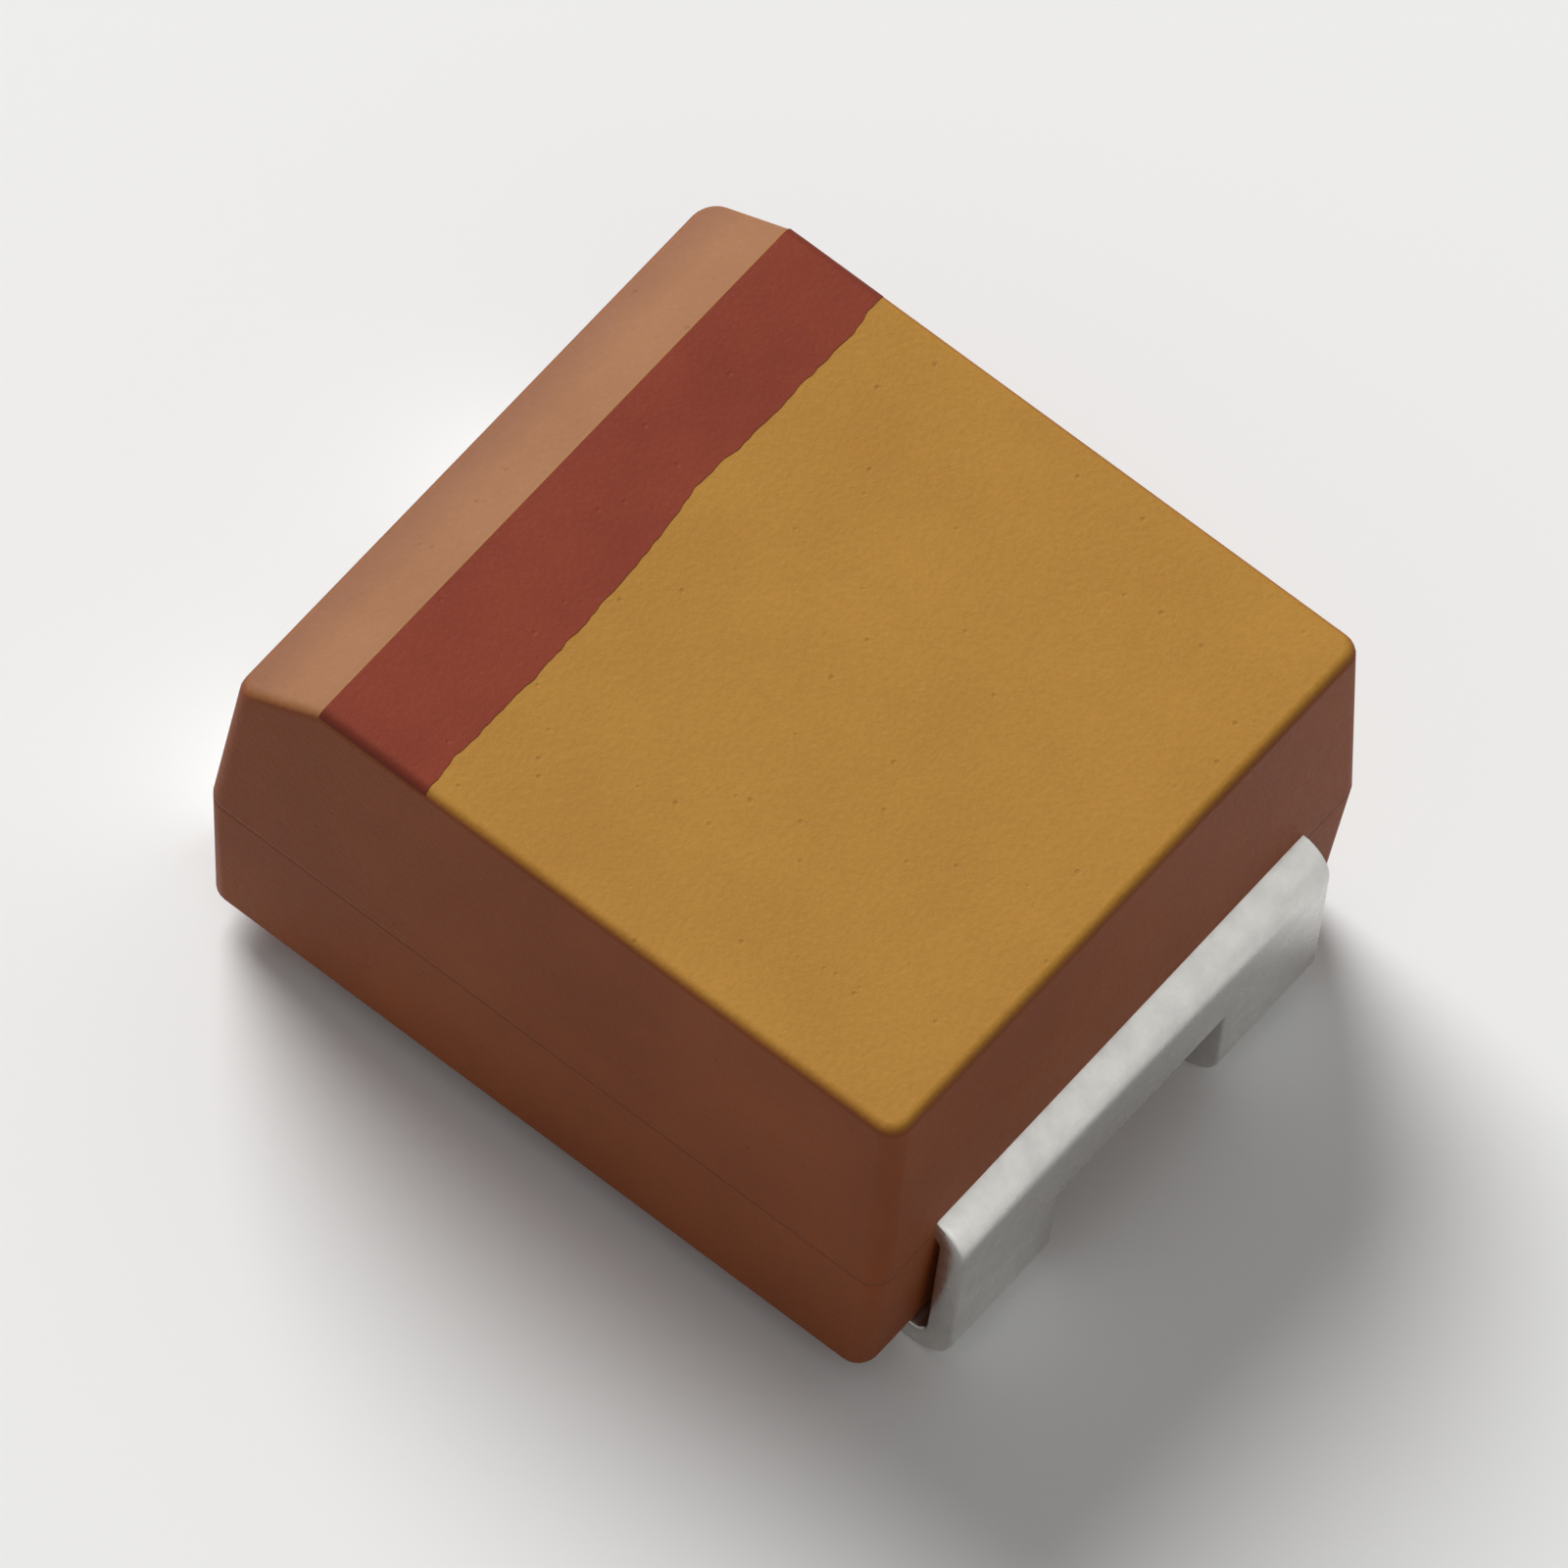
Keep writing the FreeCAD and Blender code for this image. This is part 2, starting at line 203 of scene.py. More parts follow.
def makeGrainGroup(look):
    inputs = [("Vector", "NodeSocketVector"), ("Cloud Scale", "NodeSocketFloat"),
              ("Grain Scale", "NodeSocketFloat"), ("Pit Scale", "NodeSocketFloat"),
              ("Pit Share", "NodeSocketFloat")]
    outputs = [("Cloud", "NodeSocketFloat"), ("Grain", "NodeSocketFloat"), ("Pits", "NodeSocketFloat"),
               ("Height", "NodeSocketFloat")]
    group, given, out = newGroup("resinGrain", inputs, outputs)
    place = given.outputs["Vector"]
    cloud = addNode(group, "ShaderNodeTexNoise",
                    {"Vector": place, "Scale": given.outputs["Cloud Scale"], **look["cloud"]})
    grain = addNode(group, "ShaderNodeTexNoise",
                    {"Vector": place, "Scale": given.outputs["Grain Scale"], **look["grain"]})
    cells = addNode(group, "ShaderNodeTexVoronoi", {"Vector": place, "Scale": given.outputs["Pit Scale"]})
    # only the cells whose random colour is low hold a pit
    rare = addNode(group, "ShaderNodeSeparateColor", {"Color": cells.outputs["Color"]}).outputs[0]
    chosen = mathNode(group, "LESS_THAN", rare, given.outputs["Pit Share"])
    inPit = rampValue(group, cells.outputs["Distance"], look["pitFloor"], look["pitRim"], 1.0, 0.0)
    pits = mathNode(group, "MULTIPLY", chosen, inPit)
    height = mathNode(group, "MULTIPLY_ADD", pits, look["pitDepth"], grain.outputs["Fac"])
    group.links.new(cloud.outputs["Fac"], out.inputs["Cloud"])
    group.links.new(grain.outputs["Fac"], out.inputs["Grain"])
    group.links.new(pits, out.inputs["Pits"])
    group.links.new(height, out.inputs["Height"])
    return group


grainGroup = makeGrainGroup(grainLook)


def placeGrain(tree, place, scales):
    return addNode(tree, "ShaderNodeGroup", {"Vector": place, **scales}, node_tree=grainGroup).outputs


# The moulded case: two drafted halves, the polarity bevel and the glue pad

caseSizes = {
    "length": 3.22, "width": 2.90, "parting": 0.875, "bottom": 0.15, "top": 1.897,
    "draft": 3.0, "bevelRun": 0.375, "bevelDrop": 0.23,
    "padLength": 1.80, "padWidth": 2.20, "padBottom": 0.05,
    # radius and steps of each kind of edge, and the least turn in degrees that is rounded
    "corner": 0.09, "cornerSteps": 6, "cornerTurn": 30,
    "edge": 0.045, "edgeSteps": 4, "edgeTurn": 20,
    "lowerEdge": 0.03, "lowerSteps": 2, "lowerTurn": 40,
    "partingClear": 0.2,
}
caseLook = {
    # the walls and the underside take a darker, redder colour than the top: painted shade with a warm
    # reflected cast
    "tan": (0.452, 0.222, 0.031), "wall": (0.227, 0.0545, 0.0095),
    "bevelTint": (0.325, 0.146, 0.074), "bevelDeep": (0.240, 0.100, 0.062),
    "bevelShare": 0.85, "bevelOuter": -1.555, "bevelInner": -1.36,
    # parts of a normal between which the masks of the painted wall shade and of the bevel go from 0 to 1
    "wallUp": (0.9545, 0.5), "bevelOut": (0.1, 0.35), "bevelUp": (0.5, 0.786),
    # what clouds, filler grains and specks do to the colour under them
    "cloudTint": (0.91, 0.875, 0.84), "wallCloudTint": (0.83, 0.78, 0.73),
    "paleTint": (1.17, 1.26, 1.90), "paleRange": (0.52, 0.70),
    "darkTint": (0.84, 0.78, 0.70), "darkRange": (0.30, 0.48),
    "grainShare": 0.35, "speckTint": (0.44, 0.38, 0.65), "speckShare": 0.22,
    "scales": {"Cloud Scale": 1.1, "Grain Scale": 42.0, "Pit Scale": 20.0, "Pit Share": 0.05},
    # the parting line: half widths of its core and its fade, in millimetres
    "seam": (0.14, 0.035, 0.006), "seamCore": 0.004, "seamFade": 0.014, "seamShare": 0.65,
    "seamDepth": -1.2,
    "roughness": 0.6, "roughnessSpread": (0.07, 0.08), "specular": 0.2, "bump": 0.0000026,
}


def topHalves(sizes):
    # half length and half width of the moulding's top face
    drawIn = (sizes["top"] - sizes["parting"]) * math.tan(math.radians(sizes["draft"]))
    return sizes["length"] / 2 - drawIn, sizes["width"] / 2 - drawIn


def makeCaseMesh(sizes):
    bm = bmesh.new()
    bmesh.ops.create_cube(bm, size=1.0)
    tall = sizes["top"] - sizes["bottom"]
    bmesh.ops.scale(bm, vec=(sizes["length"], sizes["width"], tall), verts=bm.verts)
    bmesh.ops.translate(bm, vec=(0, 0, sizes["bottom"] + tall / 2), verts=bm.verts)
    cutAcross(bm, (0, 0, sizes["parting"]), (0, 0, 1))
    for level in ("top", "bottom"):  # draft both ways from the parting plane
        away = abs(sizes[level] - sizes["parting"]) * math.tan(math.radians(sizes["draft"]))
        verts = [vert for vert in bm.verts if abs(vert.co.z - sizes[level]) < near]
        drawIn = (1 - 2 * away / sizes["length"], 1 - 2 * away / sizes["width"], 1)
        bmesh.ops.scale(bm, vec=drawIn, verts=verts)

    topEnd = topHalves(sizes)[0]
    slope = Vector((-sizes["bevelDrop"], 0, sizes["bevelRun"]))
    cut = cutAcross(bm, (sizes["bevelRun"] - topEnd, 0, sizes["top"]), slope, drop=True)
    bmesh.ops.contextual_create(bm, geom=onlyOf(cut, bmesh.types.BMEdge))

    for axis, size in ((0, "padLength"), (1, "padWidth")):
        for side in (-1, 1):
            normal = Vector((0, 0, 0))
            normal[axis] = side
            under = [face for face in bm.faces if face.calc_center_median().z < sizes["bottom"] + near]
            cutAcross(bm, normal * sizes[size] / 2, normal, faces=under)
    underMiddle = Vector((0, 0, sizes["bottom"]))
    pad = [face for face in bm.faces if (face.calc_center_median() - underMiddle).length < near]
    extrudeFaces(bm, pad, (0, 0, sizes["padBottom"] - sizes["bottom"]))

    def isCorner(edge):
        # the upright edges of the case, which lie beyond those of the pad
        first, second = (vert.co for vert in edge.verts)
        upright = abs((first - second).normalized().z) > 0.95
        return upright and min(abs(first.y), abs(second.y)) > (sizes["padWidth"] + sizes["width"]) / 4

    def isUpper(edge):
        return min(vert.co.z for vert in edge.verts) > sizes["parting"] + sizes["partingClear"]

    def isLower(edge):
        return max(vert.co.z for vert in edge.verts) < sizes["parting"] - sizes["partingClear"]

    bmesh.ops.recalc_face_normals(bm, faces=bm.faces)
    roundEdges(bm, sharpEdges(bm, sizes["cornerTurn"], isCorner), sizes["corner"], sizes["cornerSteps"])
    roundEdges(bm, sharpEdges(bm, sizes["edgeTurn"], isUpper), sizes["edge"], sizes["edgeSteps"])
    roundEdges(bm, sharpEdges(bm, sizes["lowerTurn"], isLower), sizes["lowerEdge"], sizes["lowerSteps"])
    return bm


def makeCaseMaterial(look):
    material, tree, shader = newMaterial("tanEpoxy", look["roughness"])
    shader.inputs["Specular IOR Level"].default_value = look["specular"]
    place = millimetres(tree)
    axes = addNode(tree, "ShaderNodeSeparateXYZ", {"Vector": place}).outputs
    grain = placeGrain(tree, place, look["scales"])

    # painted shade: this mask darkens and reddens the walls and the underside
    wall = addNode(tree, "ShaderNodeAttribute", attribute_name="wall").outputs["Fac"]
    colour = mixColour(tree, wall, look["tan"], look["wall"])
    bevel = addNode(tree, "ShaderNodeAttribute", attribute_name="bevel").outputs["Fac"]
    outer = rampValue(tree, axes["X"], look["bevelOuter"], look["bevelInner"], 1.0, 0.0)
    tint = mixColour(tree, outer, look["bevelTint"], look["bevelDeep"])
    colour = mixColour(tree, mathNode(tree, "MULTIPLY", bevel, look["bevelShare"]), colour, tint)

    clouds = rampValue(tree, grain["Cloud"], *toneRange)
    cloudTint = mixColour(tree, wall, look["cloudTint"], look["wallCloudTint"])
    colour = mixColour(tree, clouds, colour, cloudTint, "MULTIPLY")
    pale = rampValue(tree, grain["Grain"], *look["paleRange"], 0.0, look["grainShare"])
    colour = mixColour(tree, pale, colour, look["paleTint"], "MULTIPLY")
    dark = rampValue(tree, grain["Grain"], *look["darkRange"], look["grainShare"], 0.0)
    colour = mixColour(tree, dark, colour, look["darkTint"], "MULTIPLY")
    specks = mathNode(tree, "MULTIPLY", grain["Pits"], look["speckShare"])
    colour = mixColour(tree, specks, colour, look["speckTint"], "MULTIPLY")

    fromSeam = mathNode(tree, "ABSOLUTE", mathNode(tree, "SUBTRACT", axes["Z"], caseSizes["parting"]))
    seam = rampValue(tree, fromSeam, look["seamCore"], look["seamFade"], 1.0, 0.0)
    colour = mixColour(tree, mathNode(tree, "MULTIPLY", seam, look["seamShare"]), colour, look["seam"])
    tree.links.new(colour, shader.inputs["Base Color"])
    wanderRoughness(tree, shader, grain["Grain"], look)
    height = mathNode(tree, "MULTIPLY_ADD", seam, look["seamDepth"], grain["Height"])
    raiseSurface(tree, shader, height, look["bump"])
    return material


def paintCase(piece, look):
    # how far each point belongs to the walls and the underside, which carry painted shade, or to the polarity
    # bevel
    mesh = piece.data
    wall = mesh.attributes.new("wall", "FLOAT", "POINT")
    bevel = mesh.attributes.new("bevel", "FLOAT", "POINT")
    for vert in mesh.vertices:
        wall.data[vert.index].value = shareBetween(vert.normal.z, *look["wallUp"])
        out = shareBetween(-vert.normal.x, *look["bevelOut"])
        up = shareBetween(vert.normal.z, *look["bevelUp"])
        bevel.data[vert.index].value = min(out, up)


def makeCase():
    piece = finishPiece("mouldedCase", makeCaseMesh(caseSizes), makeCaseMaterial(caseLook))
    paintCase(piece, caseLook)
    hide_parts("moulded_case")
    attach(piece, "root")
    print("case made:", len(piece.data.polygons), "faces")


# The polarity band: a marked film across the top, with an uneven inner edge

bandSizes = {
    "width": 0.463, "columns": 240, "rows": 6,
    # its start before the top, its height over the moulding, its thickness, and its wrap over the long
    # edges in degrees
    "lead": 0.012, "film": 0.003, "depth": 0.012, "wrap": 62.0,
    # where the inner edge bends: place across from -1 to 1, and how far it stands off there
    "kinks": ((-1.0, 0.032), (-0.87, 0.020), (-0.45, 0.028), (-0.05, 0.006), (0.2, -0.034), (0.28, -0.033),
              (0.38, -0.017), (0.85, -0.012), (1.0, -0.032)),
    # its random fray, and how often and by what shares of each neighbour and its own it is evened out
    "fray": 0.006, "seed": 7, "spread": 3, "spreadShares": (0.3, 0.4),
}
bandLook = {
    "mark": (0.236, 0.036, 0.013), "markDeep": (0.200, 0.028, 0.011),
    "thin": (0.29, 0.07, 0.018), "thinRange": (0.55, 0.74), "thinShare": 0.3,
    # painted shade over the long edges, where the band turns down, by the distance from the middle in
    # millimetres
    "side": (0.12, 0.022, 0.012), "sideShadeRange": (1.35, 1.395),
    "scales": {"Cloud Scale": 2.3, "Grain Scale": 40.0, "Pit Scale": 20.0, "Pit Share": 0.08},
    "roughness": 0.58, "roughnessSpread": (0.08, 0.08), "specular": 0.16, "bump": 0.0000018,
}


def bandEdge(across):
    # how far the inner edge of the band stands off its straight line, across from -1 to 1
    kinks = bandSizes["kinks"]
    for (start, first), (end, second) in zip(kinks, kinks[1:]):
        if across <= end:
            share = (across - start) / (end - start)
            return first + (second - first) * share
    return kinks[-1][1]


def makeFray(sizes):
    columns = sizes["columns"]
    beside, own = sizes["spreadShares"]
    random.seed(sizes["seed"])
    fray = [random.gauss(0.0, sizes["fray"]) for column in range(columns + 1)]
    for turn in range(sizes["spread"]):
        fray = [beside * fray[max(0, i - 1)] + own * fray[i] + beside * fray[min(columns, i + 1)]
                for i in range(columns + 1)]
    return fray


def makeBandMesh(sizes, case):
    topEnd, topSide = topHalves(case)
    radius = case["edge"]
    start = case["bevelRun"] - topEnd + radius * math.tan(math.atan2(case["bevelDrop"], case["bevelRun"]) / 2)
    flat = topSide - radius
    wrap = math.radians(sizes["wrap"]) * radius
    reach = flat + wrap
    columns = sizes["columns"]
    fray = makeFray(sizes)
    bm = bmesh.new()
    bmesh.ops.create_grid(bm, x_segments=sizes["rows"], y_segments=columns, size=1.0)
    for vert in bm.verts:
        along, across = (vert.co.x + 1) / 2, vert.co.y
        column = round((across + 1) / 2 * columns)
        edge = sizes["width"] + bandEdge(across) + fray[column]
        arc = max(0.0, abs(across) * reach - flat) / radius
        lift = radius + sizes["film"]
        side = min(abs(across) * reach, flat) + lift * math.sin(arc)
        height = case["top"] - radius + lift * math.cos(arc)
        place = along * (edge + sizes["lead"]) - sizes["lead"]
        if place < 0:
            height -= radius * (1 - math.cos(place / radius))
        vert.co = (start + place, math.copysign(side, across), height)
    bmesh.ops.recalc_face_normals(bm, faces=bm.faces)
    if sum(face.normal.z for face in bm.faces) < 0:
        bmesh.ops.reverse_faces(bm, faces=bm.faces)
    bmesh.ops.solidify(bm, geom=bm.faces[:], thickness=sizes["depth"])
    return bm


def makeBandMaterial(look):
    material, tree, shader = newMaterial("bandMark", look["roughness"])
    shader.inputs["Specular IOR Level"].default_value = look["specular"]
    place = millimetres(tree)
    grain = placeGrain(tree, place, look["scales"])
    clouds = rampValue(tree, grain["Cloud"], *toneRange)
    colour = mixColour(tree, clouds, look["mark"], look["markDeep"])
    thin = rampValue(tree, grain["Grain"], *look["thinRange"], 0.0, look["thinShare"])
    colour = mixColour(tree, thin, colour, look["thin"])
    across = addNode(tree, "ShaderNodeSeparateXYZ", {"Vector": place}).outputs["Y"]
    # painted shade where the band wraps over the long edges
    side = rampValue(tree, mathNode(tree, "ABSOLUTE", across), *look["sideShadeRange"])
    colour = mixColour(tree, side, colour, look["side"])
    tree.links.new(colour, shader.inputs["Base Color"])
    wanderRoughness(tree, shader, grain["Grain"], look)
    raiseSurface(tree, shader, grain["Height"], look["bump"])
    return material


def makeBand():
    piece = finishPiece("polarityBand", makeBandMesh(bandSizes, caseSizes), makeBandMaterial(bandLook))
    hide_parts("polarity_band")
    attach(piece, "root")
    print("band made:", len(piece.data.polygons), "faces")


# Terminals: one strip each, swept from its root in the case round to its foot

stripSizes = {
    "outer": 1.75, "half": 1.10, "thick": 0.12, "bend": 0.05, "bendSteps": 10, "exit": 0.875, "root": 1.54,
    "footTip": 0.95, "tipRadius": 0.08, "tipSteps": 5, "cutHalf": 0.50, "cutHeight": 0.50, "cutDepth": 0.30,
    "edge": 0.014, "edgeSteps": 2, "edgeTurn": 50, "smoothAngle": 55.0,
}
tabSizes = {"half": 0.45, "end": -1.02}
cradleSizes = {"half": 0.70, "end": -0.13, "level": 0.39,
               "crankTop": 1.45, "crankFoot": 1.27, "crankSteps": 8}
tinLook = {
    "tin": (0.66, 0.65, 0.62), "dull": (0.59, 0.58, 0.555), "dullRange": (0.4, 0.65),
    # lines along the rolling direction, clouds, and a fine unevenness with its share of the height
    "rolling": (2.0, 55.0, 2.0), "lines": {"Scale": 1.0, "Detail": 4.0, "Roughness": 0.6},
    "clouds": {"Scale": 9.0, "Detail": 5.0, "Roughness": 0.65},
    "fine": {"Scale": 45.0, "Detail": 2.0, "Roughness": 0.5}, "fineShare": 0.5,
    "roughness": 0.29, "roughnessSpread": (0.05, 0.06), "bump": 0.0000012,
}


def makeStripMesh(sizes, side, widths):
    # side is -1 for the anode end and 1 for the cathode end
    bm = bmesh.new()
    low, high = sizes["exit"] - sizes["thick"] / 2, sizes["exit"] + sizes["thick"] / 2
    corners = [(-sizes["half"], low), (sizes["half"], low), (sizes["half"], high), (-sizes["half"], high)]
    bm.faces.new([bm.verts.new((side * sizes["root"], y, z)) for y, z in corners])
    for width in widths:
        for sign in (-1, 1):
            cutAcross(bm, (0, sign * width, 0), (0, 1, 0))
    # a copy is swept; the first faces stay where they are, as the end of the strip
    made = bmesh.ops.duplicate(bm, geom=bm.faces[:])
    faces = onlyOf(made["geom"], bmesh.types.BMFace)

    inner = sizes["outer"] - sizes["thick"] - sizes["bend"]
    faces = extrudeFaces(bm, faces, (side * (inner - sizes["root"]), 0, 0))
    level = low - sizes["bend"]
    faces = turnFaces(bm, faces, (side * inner, 0, level), side * math.pi / 2, sizes["bendSteps"])
    foot = sizes["thick"] + sizes["bend"]
    for stop in (sizes["cutHeight"], foot):
        faces = extrudeFaces(bm, faces, (0, 0, stop - level))
        level = stop
    faces = turnFaces(bm, faces, (side * inner, 0, foot), side * math.pi / 2, sizes["bendSteps"])
    reach = inner
    for stop in (sizes["outer"] - sizes["cutDepth"], sizes["footTip"]):
        faces = extrudeFaces(bm, faces, (side * (stop - reach), 0, 0))
        reach = stop
    weldMesh(bm)
    return bm


def innerEnd(bm, side, half, root):
    # the end faces of the strip that carry on into the case as the narrower tab
    found = []
    for face in bm.faces:
        centre = face.calc_center_median()
        if abs(centre.x - side * root) < near and abs(face.normal.x) > 0.9 and abs(centre.y) < half:
            found.append(face)
    return found


def openCutout(bm, sizes, side):
    # takes the middle of the strip away across the lower bend and walls the opening
    start = sizes["outer"] - sizes["cutDepth"]
    gone = []
    for face in bm.faces:
        centre = face.calc_center_median()
        inMiddle = abs(centre.y) < sizes["cutHalf"] and abs(face.normal.y) < 0.5
        if inMiddle and centre.z < sizes["cutHeight"] and side * centre.x > start:
            gone.append(face)
    rims = {edge for face in gone for edge in face.edges}
    rims = [edge for edge in rims if not all(face in gone for face in edge.link_faces)]
    bmesh.ops.delete(bm, geom=gone, context="FACES_ONLY")
    loose = [edge for edge in bm.edges if not edge.link_faces]
    bmesh.ops.delete(bm, geom=loose, context="EDGES")
    rims = [edge for edge in rims if edge.is_valid and edge.is_boundary]
    bmesh.ops.bridge_loops(bm, edges=rims)


def finishStrip(bm, sizes, side):
    openCutout(bm, sizes, side)
    weldMesh(bm)

    def isTip(edge):
        # the upright edges at the two corners of the foot's tip
        ends = [vert.co for vert in edge.verts]
        upright = abs(ends[0].z - ends[1].z) > sizes["thick"] * 0.9
        low = max(end.z for end in ends) < sizes["thick"] + near
        return upright and low and all(abs(abs(end.x) - sizes["footTip"]) < near
                                       and abs(end.y) > sizes["half"] - near for end in ends)

    roundEdges(bm, [edge for edge in bm.edges if isTip(edge)], sizes["tipRadius"], sizes["tipSteps"])
    roundEdges(bm, sharpEdges(bm, sizes["edgeTurn"]), sizes["edge"], sizes["edgeSteps"])
    return bm


def makeAnodeStrip():
    sizes, tab = stripSizes, tabSizes
    bm = makeStripMesh(sizes, -1, (sizes["cutHalf"], tab["half"]))
    faces = innerEnd(bm, -1, tab["half"], sizes["root"])
    extrudeFaces(bm, faces, (tab["end"] + sizes["root"], 0, 0))
    return finishStrip(bm, sizes, -1)


def makeCathodeStrip():
    sizes, cradle = stripSizes, cradleSizes
    bm = makeStripMesh(sizes, 1, (sizes["cutHalf"], cradle["half"]))
    faces = innerEnd(bm, 1, cradle["half"], sizes["root"])
    drop, run = sizes["exit"] - cradle["level"], cradle["crankTop"] - cradle["crankFoot"]
    angle = math.atan2(drop, run)
    bend = sizes["bend"] + sizes["thick"] / 2  # to the middle of the strip
    cut = bend * math.tan(angle / 2)
    start = cradle["crankTop"] + cut
    faces = extrudeFaces(bm, faces, (start - sizes["root"], 0, 0))
    faces = turnFaces(bm, faces, (start, 0, sizes["exit"] - bend), -angle, cradle["crankSteps"])
    slant = math.hypot(drop, run) - 2 * cut
    faces = extrudeFaces(bm, faces, (-slant * math.cos(angle), 0, -slant * math.sin(angle)))
    end = cradle["crankFoot"] - cut
    faces = turnFaces(bm, faces, (end, 0, cradle["level"] + bend), angle, cradle["crankSteps"])
    extrudeFaces(bm, faces, (cradle["end"] - end, 0, 0))
    return finishStrip(bm, sizes, 1)


def makeTinMaterial(look):
    material, tree, shader = newMaterial("tinPlate", look["roughness"], 1.0)
    place = millimetres(tree)
    rolled = addNode(tree, "ShaderNodeMapping", {"Vector": place, "Scale": look["rolling"]}).outputs["Vector"]
    lines = addNode(tree, "ShaderNodeTexNoise", {"Vector": rolled, **look["lines"]}).outputs["Fac"]
    clouds = addNode(tree, "ShaderNodeTexNoise", {"Vector": place, **look["clouds"]}).outputs["Fac"]
    fine = addNode(tree, "ShaderNodeTexNoise", {"Vector": place, **look["fine"]}).outputs["Fac"]
    dull = rampValue(tree, clouds, *look["dullRange"])
    tree.links.new(mixColour(tree, dull, look["tin"], look["dull"]), shader.inputs["Base Color"])
    wanderRoughness(tree, shader, clouds, look)
    raiseSurface(tree, shader, mathNode(tree, "MULTIPLY_ADD", fine, look["fineShare"], lines), look["bump"])
    return material


def makeTerminals():
    tin = makeTinMaterial(tinLook)
    strips = (("anodeTerminal", makeAnodeStrip, "anode_terminal", "tin_plate_anode"),
              ("cathodeTerminal", makeCathodeStrip, "cathode_terminal", "tin_plate_cathode"))
    for name, makeStrip, node, slot in strips:
        piece = finishPiece(name, makeStrip(), tin, stripSizes["smoothAngle"])
        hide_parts(node)
        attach(piece, "root")
        print(name, "made:", len(piece.data.polygons), "faces")


# What is sealed inside keeps its own solids and gets finishes

innerLooks = {
    "tantalum_pellet": {"base": (0.13, 0.135, 0.145), "other": (0.07, 0.072, 0.08), "metallic": 0.7,
                        "roughness": 0.7, "scale": 38.0, "bump": 0.000004},
    "anode_wire": {"base": (0.36, 0.37, 0.40), "other": (0.25, 0.26, 0.29), "metallic": 1.0,
                   "roughness": 0.38, "scale": 30.0, "bump": 0.000001},
    "wire_washer": {"base": (0.80, 0.80, 0.77), "other": (0.72, 0.72, 0.69), "metallic": 0.0,
                    "roughness": 0.45, "scale": 12.0, "bump": 0.000001},
    "manganese_coat": {"base": (0.026, 0.023, 0.022), "other": (0.012, 0.011, 0.011), "metallic": 0.0,
                       "roughness": 0.75, "scale": 30.0, "bump": 0.000005},
    "graphite_coat": {"base": (0.035, 0.036, 0.039), "other": (0.018, 0.018, 0.020), "metallic": 0.2,
                      "roughness": 0.6, "scale": 26.0, "bump": 0.000002},
    "silver_coat": {"base": (0.62, 0.61, 0.58), "other": (0.48, 0.47, 0.44), "metallic": 0.8,
                    "roughness": 0.55, "scale": 34.0, "bump": 0.000002},
    "silver_adhesive": {"base": (0.55, 0.54, 0.51), "other": (0.42, 0.41, 0.39), "metallic": 0.7,
                        "roughness": 0.6, "scale": 20.0, "bump": 0.000003},
}
innerScales = {"Cloud Scale": 2.5, "Pit Scale": 10.0, "Pit Share": 0.2}


def dressInside():
    for name, look in innerLooks.items():
        material, tree, shader = newMaterial(f"{name}_finish", look["roughness"], look["metallic"])
        grain = placeGrain(tree, millimetres(tree), {"Grain Scale": look["scale"], **innerScales})
        share = rampValue(tree, grain["Grain"], *toneRange)
        tree.links.new(mixColour(tree, share, look["base"], look["other"]), shader.inputs["Base Color"])
        raiseSurface(tree, shader, grain["Height"], look["bump"])
        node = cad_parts[name]
        node.data.materials.clear()
        node.data.materials.append(material)
    print("inside dressed:", len(innerLooks), "nodes")


# Floor, light and camera

stageLook = {"floor": (0.88, 0.88, 0.875), "floorRoughness": 0.7, "floorHalf": 0.6,
             "background": (0.9, 0.9, 0.895), "worldLevel": 0.28}
lightSettings = {
    "key": {"direction": (-0.9, 0.42, 0.95), "distance": 0.4, "size": 0.24, "power": 1.6},
    "fill": {"direction": (0.95, -0.35, 0.8), "distance": 0.5, "size": 0.4, "power": 0.12},
}
cameraSettings = {"azimuth": 31.5, "elevation": 60.0, "roll": 8.4, "lens": 740.0, "distance": 0.120,
                  "aim": (0.0, 0.0, 0.0009), "clip": (0.01, 10.0)}


def makeFloor():
    bm = bmesh.new()
    bmesh.ops.create_grid(bm, x_segments=1, y_segments=1, size=stageLook["floorHalf"])
    mesh = bpy.data.meshes.new("floor")
    bm.to_mesh(mesh)
    bm.free()
    floor = bpy.data.objects.new("floor", mesh)
    bpy.context.scene.collection.objects.link(floor)
    material, tree, shader = newMaterial("paleFloor", stageLook["floorRoughness"])
    shader.inputs["Base Color"].default_value = (*stageLook["floor"], 1.0)
    mesh.materials.append(material)


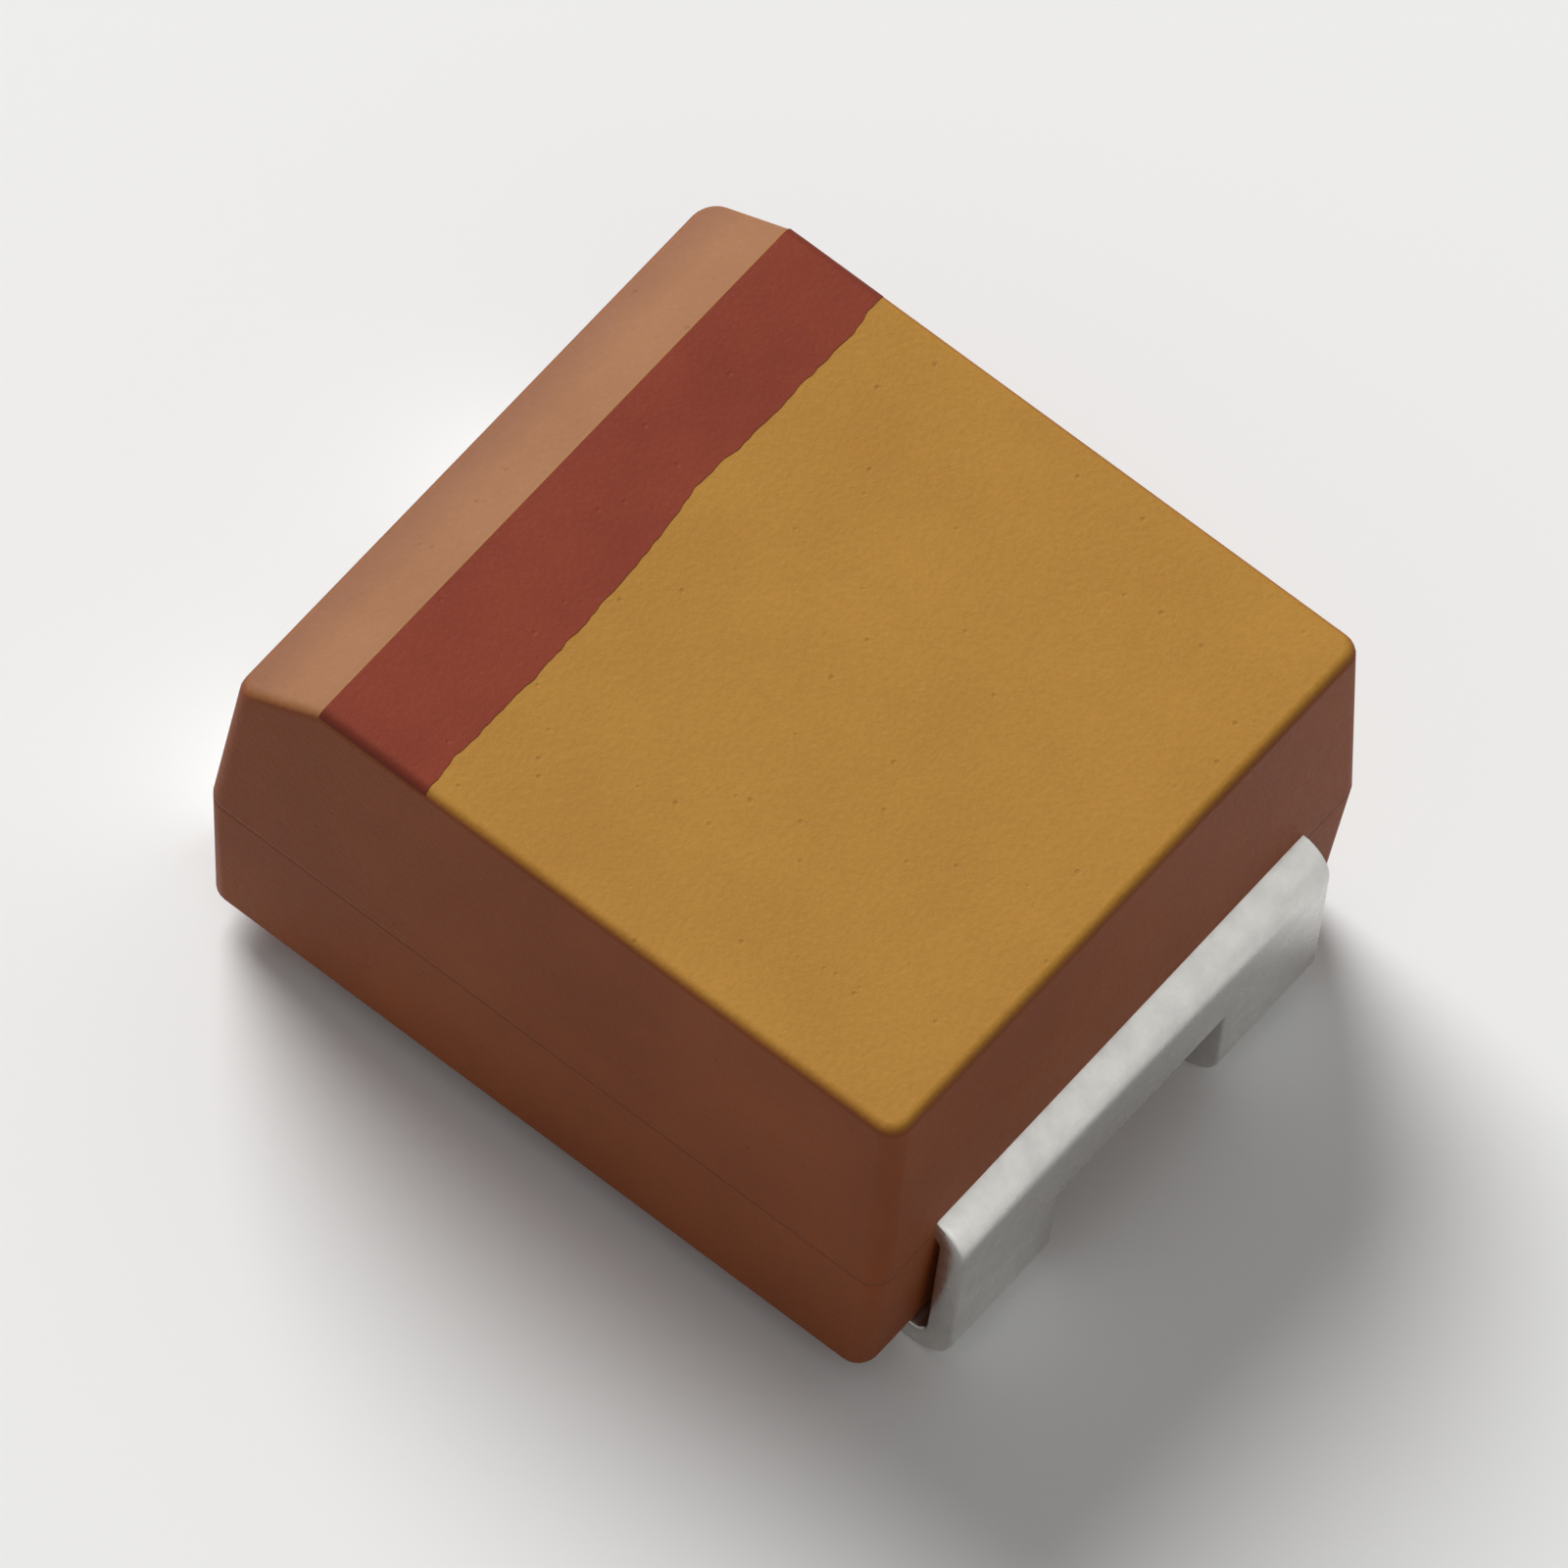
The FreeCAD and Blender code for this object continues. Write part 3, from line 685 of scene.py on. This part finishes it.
def makeWorld():
    # what the camera, reflections and clear things see is near white; what lights the part is dimmer
    world = bpy.data.worlds.new("studio")
    bpy.context.scene.world = world
    world.use_nodes = True
    tree = world.node_tree
    tree.nodes.clear()
    path = addNode(tree, "ShaderNodeLightPath")
    seen = mathNode(tree, "MAXIMUM", path.outputs["Is Camera Ray"], path.outputs["Is Glossy Ray"])
    seen = mathNode(tree, "MAXIMUM", seen, path.outputs["Is Transmission Ray"])
    strength = rampValue(tree, seen, 0.0, 1.0, stageLook["worldLevel"], 1.0)
    colour = (*stageLook["background"], 1.0)
    shader = addNode(tree, "ShaderNodeBackground", {"Color": colour, "Strength": strength})
    out = addNode(tree, "ShaderNodeOutputWorld")
    tree.links.new(shader.outputs[0], out.inputs["Surface"])


def makeLights():
    for name, light in lightSettings.items():
        data = bpy.data.lights.new(name, "AREA")
        data.shape = "DISK"
        data.size = light["size"]
        data.energy = light["power"]
        lamp = bpy.data.objects.new(name, data)
        away = Vector(light["direction"]).normalized()
        lamp.location = away * light["distance"]
        lamp.rotation_mode = "QUATERNION"
        lamp.rotation_quaternion = away.to_track_quat("Z", "Y")
        bpy.context.scene.collection.objects.link(lamp)


def makeCamera():
    settings = cameraSettings
    azimuth, elevation = math.radians(settings["azimuth"]), math.radians(settings["elevation"])
    back = Vector((math.sin(azimuth) * math.cos(elevation), -math.cos(azimuth) * math.cos(elevation),
                   math.sin(elevation)))
    data = bpy.data.cameras.new("camera")
    data.lens = settings["lens"]
    data.clip_start, data.clip_end = settings["clip"]
    camera = bpy.data.objects.new("camera", data)
    roll = Matrix.Rotation(math.radians(settings["roll"]), 3, "Z").to_quaternion()
    camera.rotation_mode = "QUATERNION"
    camera.rotation_quaternion = back.to_track_quat("Z", "Y") @ roll
    camera.location = Vector(settings["aim"]) + back * settings["distance"]
    bpy.context.scene.collection.objects.link(camera)
    bpy.context.scene.camera = camera
    bpy.context.scene.view_settings.view_transform = "Standard"


makeCamera()
makeWorld()
makeLights()
makeFloor()
print("stage set")
makeCase()
makeBand()
makeTerminals()
dressInside()
